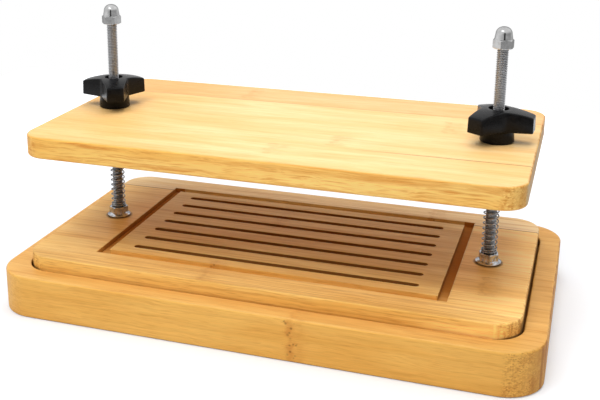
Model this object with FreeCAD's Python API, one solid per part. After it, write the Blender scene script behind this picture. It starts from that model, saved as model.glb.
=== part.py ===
"""Bamboo tofu press with two threaded rods, springs and three-arm knobs.

Millimetres, +Z up, +X along the boards' length. The origin is the centre of the
drip tray's underside. The press board is in its raised position.
Each piece is written to parts/NAME.step.
"""
import FreeCAD, Part
import math
import os

Vector = FreeCAD.Vector

# Drain board: it drops into the tray's pocket and carries both rods.
drain_length = 359.0
drain_width = 196.0
drain_thickness = 16.5
drain_corner = 20.0
drain_top_round = 1.2
drain_bottom_round = 1.0
drain_rise = 10.0              # how far its top stands above the tray's rim

# Drip tray.
tray_height = 32.0
tray_floor = 9.0               # bamboo left under the basin
tray_corner = 28.0
tray_edge_round = 1.8
rim_width = 15.5
rim_inner_round = 1.2
pocket_gap = 1.2               # between the drain board and the rim, all round
ledge_width = 9.0              # the step that the drain board rests on
basin_corner = 16.0
basin_floor_round = 4.0

# Press board.
press_end_inset = 2.5          # how much shorter than the drain board, at each end
press_side_inset = 0.5         # how much narrower, on each side
press_thickness = 16.5
press_corner = 17.0
press_edge_round = 2.0
bay_height = 75.5              # from the drain board's top to the press board's underside

# Juice groove: a rectangle milled round the slots.
groove_length = 259.5          # outside
groove_breadth = 151.0         # outside
groove_width = 7.0
groove_depth = 4.0

# Drain slots, side by side across the board.
slot_count = 7
slot_length = 215.5
slot_width = 5.0
slot_pitch = 18.6

# Rods: M8 hex bolts, threaded along their whole length, on the boards' centre line.
rod_inset = 31.0               # from the drain board's end to a rod's axis
thread_diameter = 8.0
rod_length = 180.0             # under the head
rod_tip_chamfer = 1.0
head_flats = 13.0
head_height = 5.3
head_recess = 0.4              # the head stops this far inside the counterbore
counterbore_diameter = 20.0
clamp_hole_diameter = 8.4      # through the drain board
slide_hole_diameter = 9.0      # through the press board
thread_fit = 0.05              # radial, between a thread's crest and its nut

# The turned ends of nuts and bolt heads.
hexagon_chamfer = 30.0         # degrees
hexagon_face = 0.97            # width of the end's flat ring, over the width across flats

# Flat washers under the bolt heads.
washer_diameter = 16.0
washer_bore = 8.4
washer_thickness = 1.6

# Flange nuts on the drain board.
flange_diameter = 18.5
flange_edge = 1.5
flange_rise = 1.4              # height of the flange's sloping part
flange_nut_flats = 13.0
flange_nut_height = 8.0
left_flange_nut_angle = 28.0   # direction of one corner, degrees from +X
right_flange_nut_angle = 41.0

# Springs.
spring_diameter = 11.5         # outside
wire_diameter = 1.0
spring_turns = 17.5

# Knobs: three arms round a hub, domed on top, with a metal insert in the bore.
knob_arms = 3
knob_reach = 25.0              # from the axis to an arm's flat tip
knob_tip_width = 13.0
knob_waist = 12.0              # from the axis to the corner between two arms
knob_waist_round = 7.0
knob_tip_round = 1.5
knob_height = 24.0
knob_dome_drop = 4.0           # from the centre down to an arm's tip
knob_foot_height = 9.0         # from the press board up to the arms' underside
knob_foot_diameter = 24.0
knob_foot_taper = 0.8          # how much narrower the foot is, in radius, at the arms
knob_edge_round = 1.0
knob_mouth_diameter = 14.0
knob_seat_gap = 0.2            # between the knob's foot and the press board
insert_diameter = 12.0
insert_height = 15.0
insert_fit = 0.02
insert_chamfer = 0.6
left_knob_angle = 298.5        # direction of the first arm, degrees from +X
right_knob_angle = 236.5

# Acorn nuts on the rods' upper ends.
acorn_flats = 13.0
acorn_hex_height = 6.5
acorn_height = 15.0
acorn_base_diameter = 12.6
acorn_crown_diameter = 11.4
acorn_crown_round = 5.0
acorn_engagement = 11.0        # length of rod inside the nut
acorn_bore_spare = 0.5         # free bore above the rod's end
left_acorn_angle = 15.0        # direction of one corner, degrees from +X
right_acorn_angle = 22.0

# Levels and places that follow from the sizes above.
press_length = drain_length - 2 * press_end_inset
press_width = drain_width - 2 * press_side_inset
pocket_length = drain_length + 2 * pocket_gap
pocket_width = drain_width + 2 * pocket_gap
tray_length = pocket_length + 2 * rim_width
tray_width = pocket_width + 2 * rim_width
drain_top = tray_height + drain_rise
drain_bottom = drain_top - drain_thickness
press_bottom = drain_top + bay_height
press_top = press_bottom + press_thickness
counterbore_depth = head_recess + head_height + washer_thickness
head_bottom = drain_bottom + head_recess
head_top = head_bottom + head_height
rod_top = head_top + rod_length
flange_nut_top = drain_top + flange_nut_height
knob_bottom = press_top + knob_seat_gap
acorn_bottom = rod_top - acorn_engagement
thread_bore = thread_diameter + 2 * thread_fit
rod_reach = drain_length / 2 - rod_inset
sides = {"left": -rod_reach, "right": rod_reach}

UP = Vector(0, 0, 1)


def at_height(z):
    return Vector(0, 0, z)


def cylinder(diameter, height, z=0.0):
    return Part.makeCylinder(diameter / 2, height, at_height(z), UP)


def revolved(profile):
    """Turn a closed (radius, height) outline round the Z axis."""
    points = [Vector(radius, 0, height) for radius, height in profile]
    face = Part.Face(Part.makePolygon(points + points[:1]))
    return face.revolve(Vector(0, 0, 0), UP, 360)


def rounded_plate(length, width, corner, z_low, z_high):
    """A plate with round vertical corners, centred on the Z axis."""
    block = Part.makeBox(length, width, z_high - z_low, Vector(-length / 2, -width / 2, z_low))
    upright = [edge for edge in block.Edges if abs(edge.tangentAt(edge.FirstParameter).z) > 0.9]
    return block.makeFillet(corner, upright)


def edges_at(shape, z):
    """The edges that lie wholly in the horizontal plane at height z."""
    def flat(edge):
        box = edge.BoundBox
        return abs(box.ZMin - z) < 1e-4 and abs(box.ZMax - z) < 1e-4
    return [edge for edge in shape.Edges if flat(edge)]


def edges_within(shape, z, length, width):
    """The edges at height z that stay inside a centred rectangle."""
    def inside(edge):
        box = edge.BoundBox
        half_length, half_width = length / 2 + 0.01, width / 2 + 0.01
        return (box.XMin > -half_length and box.XMax < half_length
                and box.YMin > -half_width and box.YMax < half_width)
    return [edge for edge in edges_at(shape, z) if inside(edge)]


def hexagon(flats, z_low, height):
    """A hexagonal prism whose corners point along X."""
    corner_radius = flats / math.sqrt(3)
    points = [Vector(corner_radius * math.cos(k * math.pi / 3),
                     corner_radius * math.sin(k * math.pi / 3), z_low) for k in range(7)]
    return Part.Face(Part.makePolygon(points)).extrude(at_height(height))


def chamfered_hexagon(flats, z_low, height, top=True, bottom=False):
    """A hexagonal prism turned down at its ends, as nuts and bolt heads are."""
    corner_radius = flats / math.sqrt(3)
    reach = corner_radius + 1
    slope = math.tan(math.radians(hexagon_chamfer))
    cut = flats / 2 * hexagon_face
    drop = (reach - cut) * slope
    z_high = z_low + height
    profile = [(0, z_low)]
    profile += [(cut, z_low), (reach, z_low + drop)] if bottom else [(reach, z_low)]
    profile += [(reach, z_high - drop), (cut, z_high)] if top else [(reach, z_high)]
    profile.append((0, z_high))
    return hexagon(flats, z_low, height).common(revolved(profile))


def make_drip_tray():
    tray = rounded_plate(tray_length, tray_width, tray_corner, 0, tray_height)
    tray = tray.makeFillet(tray_edge_round, edges_at(tray, 0) + edges_at(tray, tray_height))
    pocket = rounded_plate(pocket_length, pocket_width, drain_corner + pocket_gap,
                           drain_bottom, tray_height + 1)
    basin_length = pocket_length - 2 * ledge_width
    basin_width = pocket_width - 2 * ledge_width
    basin = rounded_plate(basin_length, basin_width, basin_corner, tray_floor, drain_bottom + 1)
    basin = basin.makeFillet(basin_floor_round, edges_at(basin, tray_floor))
    tray = tray.cut(pocket.fuse(basin))
    rim_edges = edges_within(tray, tray_height, pocket_length, pocket_width)
    return tray.makeFillet(rim_inner_round, rim_edges)


def make_slots():
    """Round-ended cutters, one for each drain slot."""
    cutters = []
    depth = drain_thickness + 2
    run = slot_length - slot_width
    for index in range(slot_count):
        y = (index - (slot_count - 1) / 2) * slot_pitch
        cutter = Part.makeBox(run, slot_width, depth,
                              Vector(-run / 2, y - slot_width / 2, drain_bottom - 1))
        for x in (-run / 2, run / 2):
            end = Part.makeCylinder(slot_width / 2, depth, Vector(x, y, drain_bottom - 1), UP)
            cutter = cutter.fuse(end)
        cutters.append(cutter.removeSplitter())
    return cutters


def make_groove():
    """The cutter for the juice groove: a rectangular ring."""
    floor = drain_top - groove_depth
    outer = Part.makeBox(groove_length, groove_breadth, groove_depth + 1,
                         Vector(-groove_length / 2, -groove_breadth / 2, floor))
    inner_length = groove_length - 2 * groove_width
    inner_breadth = groove_breadth - 2 * groove_width
    inner = Part.makeBox(inner_length, inner_breadth, groove_depth + 1,
                         Vector(-inner_length / 2, -inner_breadth / 2, floor))
    return outer.cut(inner)


def make_drain_board():
    board = rounded_plate(drain_length, drain_width, drain_corner, drain_bottom, drain_top)
    board = board.makeFillet(drain_top_round, edges_at(board, drain_top))
    board = board.makeFillet(drain_bottom_round, edges_at(board, drain_bottom))
    cutters = make_slots() + [make_groove()]
    for x in sides.values():
        hole = cylinder(clamp_hole_diameter, drain_thickness + 2, drain_bottom - 1)
        counterbore = cylinder(counterbore_diameter, counterbore_depth + 1, drain_bottom - 1)
        cutters.append(hole.fuse(counterbore).translated(Vector(x, 0, 0)))
    return board.cut(cutters)


def make_press_board():
    board = rounded_plate(press_length, press_width, press_corner, press_bottom, press_top)
    board = board.makeFillet(press_edge_round,
                             edges_at(board, press_bottom) + edges_at(board, press_top))
    holes = [cylinder(slide_hole_diameter, press_thickness + 2, press_bottom - 1)
             .translated(Vector(x, 0, 0)) for x in sides.values()]
    return board.cut(holes)


def make_bolt():
    """Hex bolt: the head is down, and its thread is drawn at the crest diameter."""
    head = chamfered_hexagon(head_flats, head_bottom, head_height, top=False, bottom=True)
    radius = thread_diameter / 2
    shank = revolved([(0, head_top), (radius, head_top), (radius, rod_top - rod_tip_chamfer),
                      (radius - rod_tip_chamfer, rod_top), (0, rod_top)])
    return head.fuse(shank)


def make_washer():
    return cylinder(washer_diameter, washer_thickness, head_top).cut(
        cylinder(washer_bore, washer_thickness, head_top))


def make_flange_nut():
    flange_top = drain_top + flange_edge + flange_rise
    skirt = revolved([(0, drain_top), (flange_diameter / 2, drain_top),
                      (flange_diameter / 2, drain_top + flange_edge),
                      (flange_nut_flats / 2, flange_top), (0, flange_top)])
    hexagonal = chamfered_hexagon(flange_nut_flats, drain_top, flange_nut_height)
    bore = cylinder(thread_bore, flange_nut_height, drain_top)
    return hexagonal.fuse(skirt).cut(bore)


def make_spring():
    """A wire wound from the flange nut's top to the press board's underside, ends ground flat."""
    mean_radius = (spring_diameter - wire_diameter) / 2
    length = press_bottom - flange_nut_top
    pitch = length / spring_turns
    line = Part.makeHelix(pitch, length, mean_radius)
    section = Part.Wire(Part.makeCircle(wire_diameter / 2, Vector(mean_radius, 0, 0), Vector(0, 1, 0)))
    coil = Part.Wire(line.Edges).makePipeShell([section], True, True)
    reach = spring_diameter
    stock = Part.makeBox(2 * reach, 2 * reach, length, Vector(-reach, -reach, 0))
    return coil.common(stock).translated(at_height(flange_nut_top))


def knob_outline(z):
    """The three-arm outline at height z: flat tips, and a round waist between the arms."""
    corners = []
    for arm in range(knob_arms):
        turn = math.tau * arm / knob_arms
        half_step = math.pi / knob_arms
        for x, y in ((knob_reach, -knob_tip_width / 2), (knob_reach, knob_tip_width / 2)):
            corners.append((x * math.cos(turn) - y * math.sin(turn),
                            x * math.sin(turn) + y * math.cos(turn)))
        corners.append((knob_waist * math.cos(turn + half_step),
                        knob_waist * math.sin(turn + half_step)))
    points = [Vector(x, y, z) for x, y in corners]
    return Part.Face(Part.makePolygon(points + points[:1]))


def upright_edges(shape, near_radius, tolerance=0.5):
    """Vertical edges that lie at one distance from the Z axis."""
    def chosen(edge):
        if abs(edge.tangentAt(edge.FirstParameter).z) < 0.9:
            return False
        start = edge.Vertexes[0].Point
        return abs(math.hypot(start.x, start.y) - near_radius) < tolerance
    return [edge for edge in shape.Edges if chosen(edge)]


def make_knob():
    """The knob in its own frame: foot at height 0, first arm along +X."""
    arms = knob_outline(knob_foot_height).extrude(at_height(knob_height - knob_foot_height))
    arms = arms.makeFillet(knob_waist_round, upright_edges(arms, knob_waist))
    tip_radius = math.hypot(knob_reach, knob_tip_width / 2)
    arms = arms.makeFillet(knob_tip_round, upright_edges(arms, tip_radius))
    dome_radius = (knob_reach ** 2 + knob_dome_drop ** 2) / (2 * knob_dome_drop)
    dome = Part.makeSphere(dome_radius, at_height(knob_height - dome_radius))
    arms = arms.common(dome)
    top_edges = [edge for edge in arms.Edges if edge.BoundBox.ZMin > knob_foot_height + 1]
    arms = arms.makeFillet(knob_edge_round, top_edges)
    foot_radius = knob_foot_diameter / 2
    foot = revolved([(0, 0), (foot_radius - knob_edge_round, 0), (foot_radius, knob_edge_round),
                     (foot_radius - knob_foot_taper, knob_foot_height + 1),
                     (0, knob_foot_height + 1)])
    body = arms.fuse(foot)
    mouth = cylinder(knob_mouth_diameter, knob_height, insert_height)
    socket = cylinder(insert_diameter + 2 * insert_fit, insert_height + 1, -1)
    return body.cut([mouth, socket])


def make_insert():
    """The threaded bush, flush with the knob's foot, in the knob's own frame."""
    radius = insert_diameter / 2
    bush = revolved([(0, 0), (radius, 0), (radius, insert_height - insert_chamfer),
                     (radius - insert_chamfer, insert_height), (0, insert_height)])
    return bush.cut(cylinder(thread_bore, insert_height + 2, -1))


def make_acorn_nut():
    base = chamfered_hexagon(acorn_flats, acorn_bottom, acorn_hex_height, top=True, bottom=True)
    dome_bottom = acorn_bottom + acorn_hex_height - 1
    dome_height = acorn_height - acorn_hex_height + 1
    dome = Part.makeCone(acorn_base_diameter / 2, acorn_crown_diameter / 2, dome_height,
                         at_height(dome_bottom), UP)
    dome = dome.makeFillet(acorn_crown_round, edges_at(dome, dome_bottom + dome_height))
    bore = cylinder(thread_bore, acorn_engagement + acorn_bore_spare, acorn_bottom)
    return base.fuse(dome).cut(bore)


def turned(shape, angle):
    return shape.rotated(Vector(0, 0, 0), UP, angle)


def all_pieces():
    """Every piece by name, where it belongs."""
    pieces = {
        "drip_tray": make_drip_tray(),
        "drain_board": make_drain_board(),
        "press_board": make_press_board(),
    }
    on_each_rod = {
        "bolt": make_bolt(),
        "washer": make_washer(),
        "flange_nut": make_flange_nut(),
        "spring": make_spring(),
        "acorn_nut": make_acorn_nut(),
    }
    on_each_knob = {"knob": make_knob(), "knob_insert": make_insert()}
    turns = {
        "left": {"flange_nut": left_flange_nut_angle, "acorn_nut": left_acorn_angle,
                 "knob": left_knob_angle, "knob_insert": left_knob_angle},
        "right": {"flange_nut": right_flange_nut_angle, "acorn_nut": right_acorn_angle,
                  "knob": right_knob_angle, "knob_insert": right_knob_angle},
    }
    for side, x in sides.items():
        for name, shape in on_each_rod.items():
            placed = turned(shape, turns[side].get(name, 0))
            pieces[side + "_" + name] = placed.translated(Vector(x, 0, 0))
        for name, shape in on_each_knob.items():
            placed = turned(shape, turns[side][name])
            pieces[side + "_" + name] = placed.translated(Vector(x, 0, knob_bottom))
    return pieces


def main():
    os.makedirs("parts", exist_ok=True)
    for name, shape in all_pieces().items():
        solids = shape.Solids
        whole = solids[0] if len(solids) == 1 else Part.makeCompound(solids)
        print(f"{name}: {len(solids)} solid, valid {whole.isValid()}, {whole.Volume:.0f} mm3")
        whole.exportStep(os.path.join("parts", name + ".step"))


main()
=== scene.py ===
from math import ceil, cos, pi, radians, sin, sqrt, tan, tau

import bmesh
import bpy
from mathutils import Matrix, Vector


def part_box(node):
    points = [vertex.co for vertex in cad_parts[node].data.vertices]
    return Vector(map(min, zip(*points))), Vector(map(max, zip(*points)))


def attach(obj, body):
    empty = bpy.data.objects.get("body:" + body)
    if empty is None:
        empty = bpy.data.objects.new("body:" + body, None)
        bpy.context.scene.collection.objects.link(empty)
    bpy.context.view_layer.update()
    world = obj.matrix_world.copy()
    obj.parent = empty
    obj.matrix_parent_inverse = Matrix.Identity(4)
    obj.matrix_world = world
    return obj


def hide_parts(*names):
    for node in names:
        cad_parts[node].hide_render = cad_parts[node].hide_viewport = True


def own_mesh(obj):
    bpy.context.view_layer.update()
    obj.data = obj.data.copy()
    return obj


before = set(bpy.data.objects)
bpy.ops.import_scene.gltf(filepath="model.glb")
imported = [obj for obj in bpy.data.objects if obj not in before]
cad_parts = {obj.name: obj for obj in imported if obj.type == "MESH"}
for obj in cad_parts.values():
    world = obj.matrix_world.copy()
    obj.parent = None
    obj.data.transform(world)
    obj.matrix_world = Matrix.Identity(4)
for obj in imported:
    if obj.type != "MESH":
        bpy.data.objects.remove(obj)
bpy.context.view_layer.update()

MM = 0.001
SIDES = ("left", "right")

# ---- sizes, in metres
# Corners and edges of the three boards.
TRAY_CORNER = 28 * MM
TRAY_ROUND = 1.8 * MM
TRAY_CUT_EDGE = 1.2 * MM  # the softened edges of the pocket and the basin
BASIN_FLOOR = 9 * MM
BASIN_CORNER = 16 * MM
BASIN_ROUND = 4 * MM
RIM_WIDTH = 15.5 * MM
LEDGE_WIDTH = 9 * MM
DRAIN_CORNER = 20 * MM
DRAIN_TOP_ROUND = 1.2 * MM
DRAIN_LOW_ROUND = 1 * MM
PRESS_CORNER = 17 * MM
PRESS_ROUND = 2 * MM
CUT_EDGE = 0.45 * MM  # the softened edge left by sanding on the two thin boards' cuts
OVERRUN = 2 * MM  # how far a cutter reaches past the face that it opens
HOLE_OVERRUN = 1 * MM

# Juice groove and slots.
GROOVE_LENGTH = 259.5 * MM
GROOVE_BREADTH = 151 * MM
GROOVE_WIDTH = 7 * MM
GROOVE_DEPTH = 4 * MM
SLOT_COUNT = 7
SLOT_LENGTH = 215.5 * MM
SLOT_WIDTH = 5 * MM
SLOT_PITCH = 18.6 * MM

# Holes for the rods.
CLAMP_HOLE = 4.2 * MM  # radius
COUNTERBORE = 10 * MM  # radius
COUNTERBORE_DEPTH = 7.3 * MM
SLIDE_HOLE = 4.5 * MM  # radius

# Threaded rods.
THREAD_PITCH = 1.25 * MM
THREAD_CREST = 4 * MM
THREAD_ROOT = 3.35 * MM
THREAD_PROFILE = ((0, THREAD_CREST), (0.14, THREAD_CREST),  # (share of the pitch, radius)
                  (0.46, THREAD_ROOT), (0.68, THREAD_ROOT))
HEAD_HEIGHT = 5.3 * MM
HEX_FLATS = 13 * MM
HEX_CHAMFER = 0.97  # where the turned chamfer meets the end, as a share of the flats
NUT_BORE = 4.05 * MM
WASHER_EDGE = 0.25 * MM

# Flange nut and acorn nut.
FLANGE_RADIUS = 9.25 * MM
FLANGE_SKIRT = ((0, 0.9), (0.3, 0.35), (0.7, 0), (1.25, 0), (1.5, 0.3))  # (height, inset) in mm
FLANGE_RISE = 1.4 * MM  # from the skirt up to the hexagon
ACORN_HEX = 6.5 * MM
ACORN_BASE = 6.3 * MM
ACORN_STEP = 0.4 * MM  # height of the dome's foot
ACORN_STEP_DRAFT = 0.05 * MM
ACORN_BORE_MIDDLE = 0.2 * MM  # radius of the flat that closes the bore
ACORN_CROWN = 5.7 * MM
ACORN_CROWN_ROUND = 5 * MM
ACORN_CROWN_RISE = 0.02 * MM  # of the middle over the rim of the crown's flat
ACORN_CAP = 3.5 * MM  # metal above the blind bore
NUT_ANGLE = {"left": 28, "right": 41}  # degrees from +X to a corner
ACORN_ANGLE = {"left": 15, "right": 22}

# Springs.
WIRE = 0.5 * MM  # radius
SPRING_MEAN = 5.25 * MM
SPRING_TURNS = 18.5
CLOSED_TURNS = 0.8  # at each end, and as many again to open from there
LOW_EXTRA_TURNS = 0.4  # closed turns that the lower end has over the upper one
CLOSED_PITCH = 2 * WIRE * 1.04
OPEN_PITCH = 4 * MM  # before the whole spring is fitted to its height

# Knobs.
KNOB_REACH = 25 * MM
KNOB_TIP = 13 * MM
KNOB_WAIST = 12 * MM
KNOB_WAIST_ROUND = 7 * MM
KNOB_TIP_ROUND = 1.5 * MM
KNOB_STEP = 1.6 * MM  # longest stretch between points of the outline
KNOB_HEIGHT = 24 * MM
KNOB_FOOT = 12 * MM  # radius
KNOB_FOOT_HEIGHT = 9 * MM
KNOB_NECK = ((0.5, 1), (0.4, 0.3), (0.1, 0))  # (inset from the foot, drop from the arms) in mm
KNOB_DOME_DROP = 4 * MM
KNOB_MOUTH = 7 * MM  # radius
KNOB_MOUTH_ROUND = 0.5 * MM
KNOB_MOUTH_DRAFT = 0.15 * MM
KNOB_EDGE = 1 * MM
KNOB_UNDER_ROUND = 0.6 * MM  # of the arms' lower edge
KNOB_DRAFT = 0.25 * MM  # how far the arms' sides lean in
KNOB_PLAY = 0.02 * MM  # round the insert
INSERT_RADIUS = 6 * MM
INSERT_HEIGHT = 15 * MM
INSERT_CHAMFER = 0.6 * MM
KNURL_RIDGES = 36
KNURL_DEPTH = 0.12 * MM
KNOB_ANGLE = {"left": 298.5, "right": 236.5}  # degrees from +X to the first arm

# ---- places, from the frame
tray_low, tray_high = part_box("drip_tray")
drain_low, drain_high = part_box("drain_board")
press_low, press_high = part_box("press_board")
rod_x = {side: sum(corner.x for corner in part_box(side + "_bolt")) / 2 for side in SIDES}


# ---- mesh building
def new_object(name, data):
    made = bpy.data.objects.new(name, data)
    bpy.context.scene.collection.objects.link(made)
    return made


def piece_from(name, bm, sharp_degrees=30):
    """Finish a bmesh as an object, smooth except across edges sharper than the angle."""
    bmesh.ops.recalc_face_normals(bm, faces=bm.faces)
    mesh = bpy.data.meshes.new(name)
    bm.to_mesh(mesh)
    bm.free()
    mesh.shade_smooth()
    mesh.set_sharp_from_angle(angle=radians(sharp_degrees))
    return new_object(name, mesh)


def skin(rings, closed=False, bm=None):
    """Skin rings that have the same number of points, and cap them or close them in a loop."""
    if bm is None:
        bm = bmesh.new()
    rows = [[bm.verts.new(point) for point in ring] for ring in rings]
    pairs = list(zip(rows, rows[1:]))
    if closed:
        pairs.append((rows[-1], rows[0]))
    for lower, upper in pairs:
        for k in range(len(lower)):
            j = (k + 1) % len(lower)
            bm.faces.new((lower[k], lower[j], upper[j], upper[k]))
    if not closed:
        bm.faces.new(rows[0][::-1])
        bm.faces.new(rows[-1])
    return bm


def quarter(steps):
    """Angles from 0 to a quarter turn."""
    return [pi / 2 * step / steps for step in range(steps + 1)]


def shares(count):
    """Equal steps up to 1."""
    return [step / count for step in range(1, count + 1)]


def at(points, z):
    return [(x, y, z) for x, y in points]


def circle(radius, x, count=48):
    return [(x + radius * cos(tau * k / count), radius * sin(tau * k / count)) for k in range(count)]


def rectangle(length, width):
    return [(length / 2, width / 2), (-length / 2, width / 2),
            (-length / 2, -width / 2), (length / 2, -width / 2)]


def rounded_rectangle(length, width, corner, steps=14):
    """Outline points of a rectangle with round corners, anticlockwise."""
    points = []
    for quadrant, (sx, sy) in enumerate(((1, 1), (-1, 1), (-1, -1), (1, -1))):
        for step in range(steps + 1):
            turn = pi / 2 * (quadrant + step / steps)
            points.append((sx * (length / 2 - corner) + corner * cos(turn),
                           sy * (width / 2 - corner) + corner * sin(turn)))
    return points


def plate(length, width, corner, z_low, z_high, round_low=0, round_high=0):
    """A board with round corners and rounded lower and upper edges."""
    levels = [(round_low * (1 - sin(turn)), z_low + round_low * (1 - cos(turn))) for turn in quarter(6)]
    levels += [(round_high * (1 - cos(turn)), z_high - round_high * (1 - sin(turn))) for turn in quarter(6)]
    levels = dict.fromkeys(levels)  # a square edge gives the same level many times
    return skin([at(rounded_rectangle(length - 2 * inset, width - 2 * inset, corner - inset), z)
                 for inset, z in levels])


def settle(piece):
    """Replace a piece's mesh with the result of its modifiers."""
    graph = bpy.context.evaluated_depsgraph_get()
    mesh = bpy.data.meshes.new_from_object(piece.evaluated_get(graph))
    mesh.name = piece.name
    old = piece.data
    piece.modifiers.clear()
    piece.data = mesh
    bpy.data.meshes.remove(old)


def carve(piece, cutter_bm):
    """Cut a closed bmesh out of a piece."""
    bmesh.ops.recalc_face_normals(cutter_bm, faces=cutter_bm.faces)
    cutter_mesh = bpy.data.meshes.new("cutter")
    cutter_bm.to_mesh(cutter_mesh)
    cutter_bm.free()
    cutter = new_object("cutter", cutter_mesh)
    cut = piece.modifiers.new("cut", "BOOLEAN")
    cut.operation = "DIFFERENCE"
    cut.solver = "EXACT"
    cut.object = cutter
    settle(piece)
    bpy.data.objects.remove(cutter)
    bpy.data.meshes.remove(cutter_mesh)


def soften(piece, width, degrees=40):
    """Round the sharp edges a little, and shade the flats flat."""
    bevel = piece.modifiers.new("bevel", "BEVEL")
    bevel.width = width
    bevel.segments = 2
    bevel.limit_method = "ANGLE"
    bevel.angle_limit = radians(degrees)
    bevel.use_clamp_overlap = True
    weighted = piece.modifiers.new("weighted", "WEIGHTED_NORMAL")
    weighted.weight = 100
    settle(piece)


# ---- boards
def size_of(low, high):
    return high.x - low.x, high.y - low.y


def blank(name, low, high, corner, round_low, round_high):
    """A whole board, before anything is cut into it."""
    return piece_from(name, plate(*size_of(low, high), corner, low.z, high.z, round_low, round_high))


def make_tray():
    length, width = size_of(tray_low, tray_high)
    tray = blank("tray_wood", tray_low, tray_high, TRAY_CORNER, TRAY_ROUND, TRAY_ROUND)
    pocket_length, pocket_width = length - 2 * RIM_WIDTH, width - 2 * RIM_WIDTH
    gap = (pocket_width - (drain_high.y - drain_low.y)) / 2
    carve(tray, plate(pocket_length, pocket_width, DRAIN_CORNER + gap, drain_low.z, tray_high.z + OVERRUN))
    carve(tray, plate(pocket_length - 2 * LEDGE_WIDTH, pocket_width - 2 * LEDGE_WIDTH, BASIN_CORNER,
                      tray_low.z + BASIN_FLOOR, drain_low.z + OVERRUN, BASIN_ROUND))
    soften(tray, TRAY_CUT_EDGE, 60)
    return tray


def slot_outline(y, steps=8):
    """A slot with half-round ends, anticlockwise."""
    run = (SLOT_LENGTH - SLOT_WIDTH) / 2
    points = []
    for end, start in ((run, -pi / 2), (-run, pi / 2)):
        for step in range(steps + 1):
            turn = start + pi * step / steps
            points.append((end + SLOT_WIDTH / 2 * cos(turn), y + SLOT_WIDTH / 2 * sin(turn)))
    return points


def slot_cutters():
    bm = bmesh.new()
    for index in range(SLOT_COUNT):
        outline = slot_outline((index - (SLOT_COUNT - 1) / 2) * SLOT_PITCH)
        skin([at(outline, drain_low.z - OVERRUN), at(outline, drain_high.z + OVERRUN)], bm=bm)
    return bm


def groove_cutter():
    outer = rectangle(GROOVE_LENGTH, GROOVE_BREADTH)
    inner = rectangle(GROOVE_LENGTH - 2 * GROOVE_WIDTH, GROOVE_BREADTH - 2 * GROOVE_WIDTH)
    floor, above = drain_high.z - GROOVE_DEPTH, drain_high.z + OVERRUN
    return skin([at(outer, floor), at(outer, above), at(inner, above), at(inner, floor)], closed=True)


def hole_cutter(x, radius, low, high):
    return skin([at(circle(radius, x), low), at(circle(radius, x), high)])


def make_drain_board():
    board = blank("drain_board_wood", drain_low, drain_high, DRAIN_CORNER, DRAIN_LOW_ROUND, DRAIN_TOP_ROUND)
    carve(board, slot_cutters())
    carve(board, groove_cutter())
    for x in rod_x.values():
        carve(board, hole_cutter(x, COUNTERBORE, drain_low.z - HOLE_OVERRUN, drain_low.z + COUNTERBORE_DEPTH))
        carve(board, hole_cutter(x, CLAMP_HOLE, drain_low.z, drain_high.z + HOLE_OVERRUN))
    soften(board, CUT_EDGE)
    return board


def make_press_board():
    board = blank("press_board_wood", press_low, press_high, PRESS_CORNER, PRESS_ROUND, PRESS_ROUND)
    for x in rod_x.values():
        carve(board, hole_cutter(x, SLIDE_HOLE, press_low.z - HOLE_OVERRUN, press_high.z + HOLE_OVERRUN))
    soften(board, CUT_EDGE)
    return board


# ---- turned and hexagonal metal
# A level is a height and a function that gives the radius at each angle round the rod's axis.
RING_STEPS = 72  # points round a nut, a multiple of six


def ring(radius_at, z, x, angle=0, count=RING_STEPS):
    """Points round a rod's axis; the angle, in degrees, turns the whole ring."""
    points = []
    for k in range(count):
        turn = tau * k / count
        radius = radius_at(turn)
        turn += radians(angle)
        points.append((x + radius * cos(turn), radius * sin(turn), z))
    return points


def round_at(radius):
    return lambda turn: radius


def rounds(pairs):
    """Round levels from (z, radius) pairs."""
    return [(z, round_at(radius)) for z, radius in pairs]


def hex_radius(turn):
    """Distance from the axis to a hexagon whose corners point along X."""
    wrapped = turn % (pi / 3) - pi / 6
    return HEX_FLATS / 2 / cos(wrapped)


def hexagon_levels(z_low, z_high, chamfer_low, chamfer_high, steps=6):
    """The levels of a nut's flats, with a turned chamfer at the ends that have one."""
    corner = HEX_FLATS / sqrt(3)
    narrow = HEX_FLATS / 2 * HEX_CHAMFER
    drop = (corner - narrow) * tan(radians(30))

    def end(z, inward, chamfered):
        if not chamfered:
            return [(z, corner)]
        return [(z + inward * drop * k / steps, narrow + k / steps * (corner - narrow))
                for k in range(steps + 1)]

    def limited(limit):
        return lambda turn: min(hex_radius(turn), limit)
    limits = end(z_low, 1, chamfer_low) + end(z_high, -1, chamfer_high)[::-1]
    return [(z, limited(limit)) for z, limit in limits]


def thread(x, z_low, z_high, segments=26):
    """A right-hand thread, as rows of points that climb round the rod."""
    bm = bmesh.new()
    turns = ceil((z_high - z_low) / THREAD_PITCH) + 2
    rows = []
    for step in range(turns * segments + 1):
        turn = tau * step / segments
        base = z_low - THREAD_PITCH + THREAD_PITCH * step / segments
        rows.append([bm.verts.new((x + radius * cos(turn), radius * sin(turn),
                                   base + THREAD_PITCH * share)) for share, radius in THREAD_PROFILE])
    for step, (here, there) in enumerate(zip(rows, rows[1:])):
        for k in range(len(here) - 1):
            bm.faces.new((here[k], there[k], there[k + 1], here[k + 1]))
        above = step + segments
        if above + 1 < len(rows):
            bm.faces.new((here[-1], there[-1], rows[above + 1][0], rows[above][0]))
    for z, normal in ((z_low, (0, 0, -1)), (z_high, (0, 0, 1))):
        geometry = bm.verts[:] + bm.edges[:] + bm.faces[:]
        cut = bmesh.ops.bisect_plane(bm, geom=geometry, plane_co=(x, 0, z), plane_no=normal,
                                     clear_outer=True)
        rim = [item for item in cut["geom_cut"] if isinstance(item, bmesh.types.BMEdge)]
        bmesh.ops.contextual_create(bm, geom=rim)
    return bm


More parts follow.
